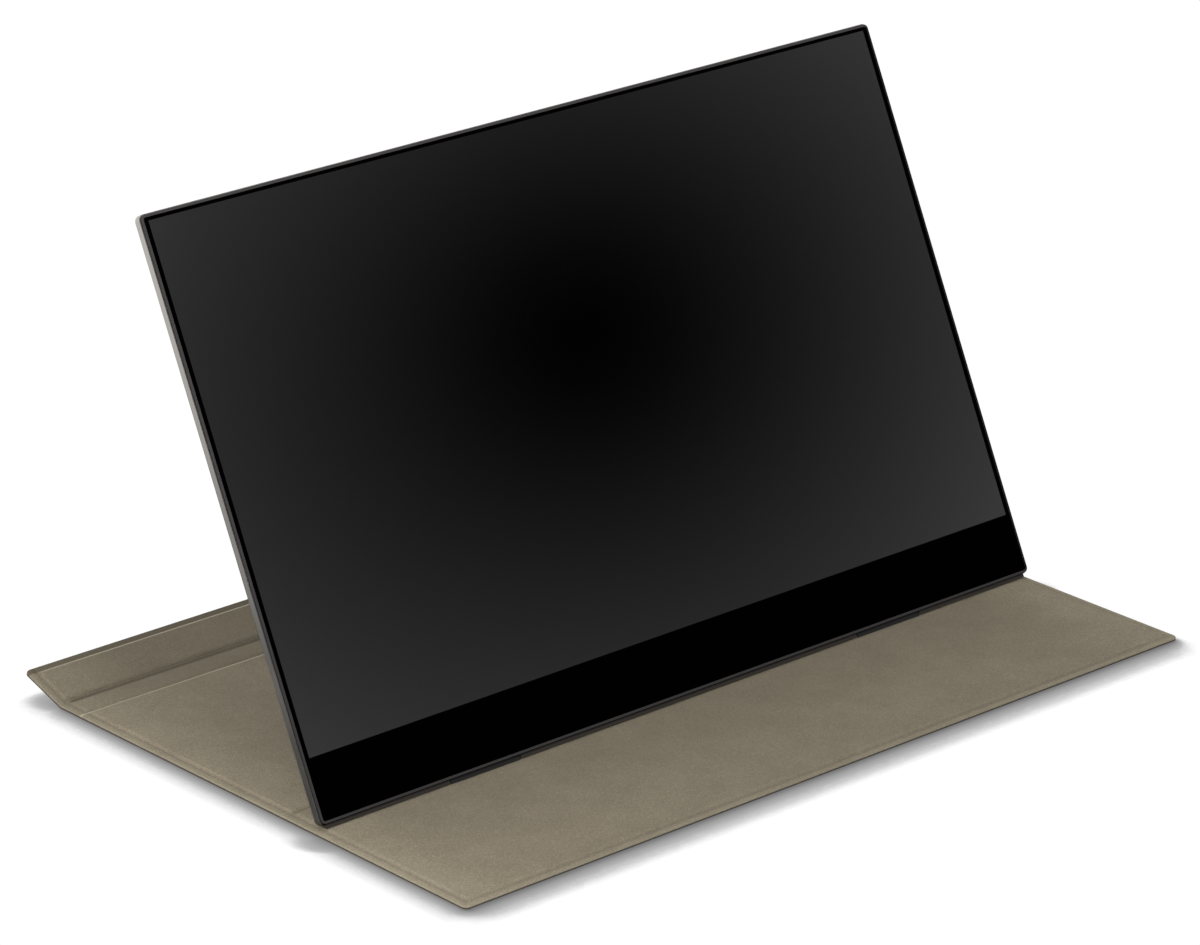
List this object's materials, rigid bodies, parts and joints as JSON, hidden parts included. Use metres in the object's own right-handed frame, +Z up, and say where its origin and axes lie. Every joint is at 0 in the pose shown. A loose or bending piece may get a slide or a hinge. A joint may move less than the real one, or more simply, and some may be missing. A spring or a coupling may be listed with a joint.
{
  "type": "portable monitor with cover",
  "caption": "Slim portable monitor that stands on a rear kickstand and rubber feet on top of its opened folio cover, with folding cover panels, side keys and sockets.",
  "frame": {"origin": "centre of the opened cover's footprint, on the table", "axes": "+X along the width, to the right as the screen is viewed; +Y away from the viewer; +Z up"},
  "size_m": [0.352, 0.2486, 0.2027],
  "materials": {
    "cover_skin": "fine-grained synthetic leather",
    "suede": "short-napped grey-brown microfibre suede",
    "crease": "bonded skin and suede, pressed thin",
    "fibreboard": "stiff fibreboard",
    "magnet": "nickel-plated magnet",
    "screen_glass": "glossy, with the screen off and the border printed black",
    "lip": "satin grey",
    "side_metal": "fine-blasted satin",
    "adhesive": "clear",
    "panel_glass": "liquid crystal cell between polarisers",
    "film": "milky films and clear acrylic",
    "tray_metal": "bare sheet metal",
    "circuit": "green solder mask",
    "chips": "moulded black chips and coils",
    "flat_cable": "polyimide film",
    "back_metal": "dark fine-blasted anodising",
    "housing": "dark fine texture",
    "copper": "copper sheet",
    "socket_metal": "plated shell with a black tongue",
    "socket_plastic": "black",
    "speaker": "black frame and paper cone",
    "mesh": "black acoustic mesh",
    "light_pipe": "milky, unlit",
    "heel": "dark moulded",
    "foot_rubber": "matt black",
    "hinge_steel": "dark plated steel",
    "pin_steel": "polished steel",
    "key_plastic": "satin dark grey",
    "stand_metal": "dark anodised plate"
  },
  "bodies": {
    "front_panel": {"front_outer_skin": "cover_skin", "front_board": "fibreboard", "front_lining": "suede", "front_magnets": "magnet"},
    "mid_panel": {"mid_outer_skin": "cover_skin", "mid_board": "fibreboard", "mid_lining": "suede", "mid_crease": "crease"},
    "spine": {"spine_outer_skin": "cover_skin", "spine_board": "fibreboard", "spine_lining": "suede", "spine_crease": "crease"},
    "rear_strip": {"rear_outer_skin": "cover_skin", "rear_board": "fibreboard", "rear_lining": "suede", "rear_magnets": "magnet", "rear_crease": "crease"},
    "monitor": {"cover_glass": "screen_glass", "mid_frame": "lip", "side_frame": "side_metal", "optical_adhesive": "adhesive", "lcd_cell": "panel_glass", "film_stack": "film", "light_guide": "film", "reflector_sheet": "film", "backlight_tray": "tray_metal", "led_bar": "circuit", "panel_board": "circuit", "panel_flex": "flat_cable", "rear_cover": "back_metal", "base_housing": "housing", "board_cable": "flat_cable", "main_board": "circuit", "board_parts": "chips", "heat_spreader": "copper", "usb_sockets": "socket_metal", "video_socket": "socket_metal", "audio_socket": "socket_plastic", "speaker_left": "speaker", "speaker_right": "speaker", "speaker_mesh": "mesh", "button_board": "circuit", "button_ribbon": "flat_cable", "status_light": "light_pipe", "heel_strip": "heel", "foot_left": "foot_rubber", "foot_right": "foot_rubber", "hinge_bracket_left": "hinge_steel", "hinge_bracket_right": "hinge_steel", "hinge_pins": "pin_steel", "hinge_screws": "pin_steel", "housing_screws": "pin_steel", "board_screws": "pin_steel", "closure_magnets": "magnet"},
    "kickstand": {"kickstand_plate": "stand_metal", "kickstand_knuckles": "hinge_steel", "kickstand_foot": "foot_rubber"},
    "power_key": {"power_button": "key_plastic"},
    "menu_key": {"menu_button": "key_plastic"}
  },
  "joints": [
    {"name": "mid_fold", "type": "hinge", "parent": "front_panel", "child": "mid_panel", "pos_m": [0, -0.02796, 0], "axis": [1, 0, 0], "range_deg": [-170, 0], "deforming": ["mid_crease"]},
    {"name": "spine_fold", "type": "hinge", "parent": "mid_panel", "child": "spine", "pos_m": [0, 0.09004, 0.00166], "axis": [1, 0, 0], "range_deg": [0, 90], "deforming": ["spine_crease"]},
    {"name": "rear_fold", "type": "hinge", "parent": "spine", "child": "rear_strip", "pos_m": [0, 0.10274, 0.0007], "axis": [1, 0, 0], "range_deg": [-18, 72], "deforming": ["rear_crease"]},
    {"name": "monitor_lift", "type": "slide", "parent": "front_panel", "child": "monitor", "axis": [0, 0, 1], "range_m": [0, 0.25]},
    {"name": "kickstand_fold", "type": "hinge", "parent": "monitor", "child": "kickstand", "pos_m": [0, 0.01392, 0.10596], "axis": [1, 0, 0], "range_deg": [-25.4, 24]},
    {"name": "power_press", "type": "slide", "parent": "monitor", "child": "power_key", "axis": [-1, 0, 0], "range_m": [0, 0.0004], "stiffness_N_per_m": 2500},
    {"name": "menu_press", "type": "slide", "parent": "monitor", "child": "menu_key", "axis": [-1, 0, 0], "range_m": [0, 0.0004], "stiffness_N_per_m": 2500}
  ]
}
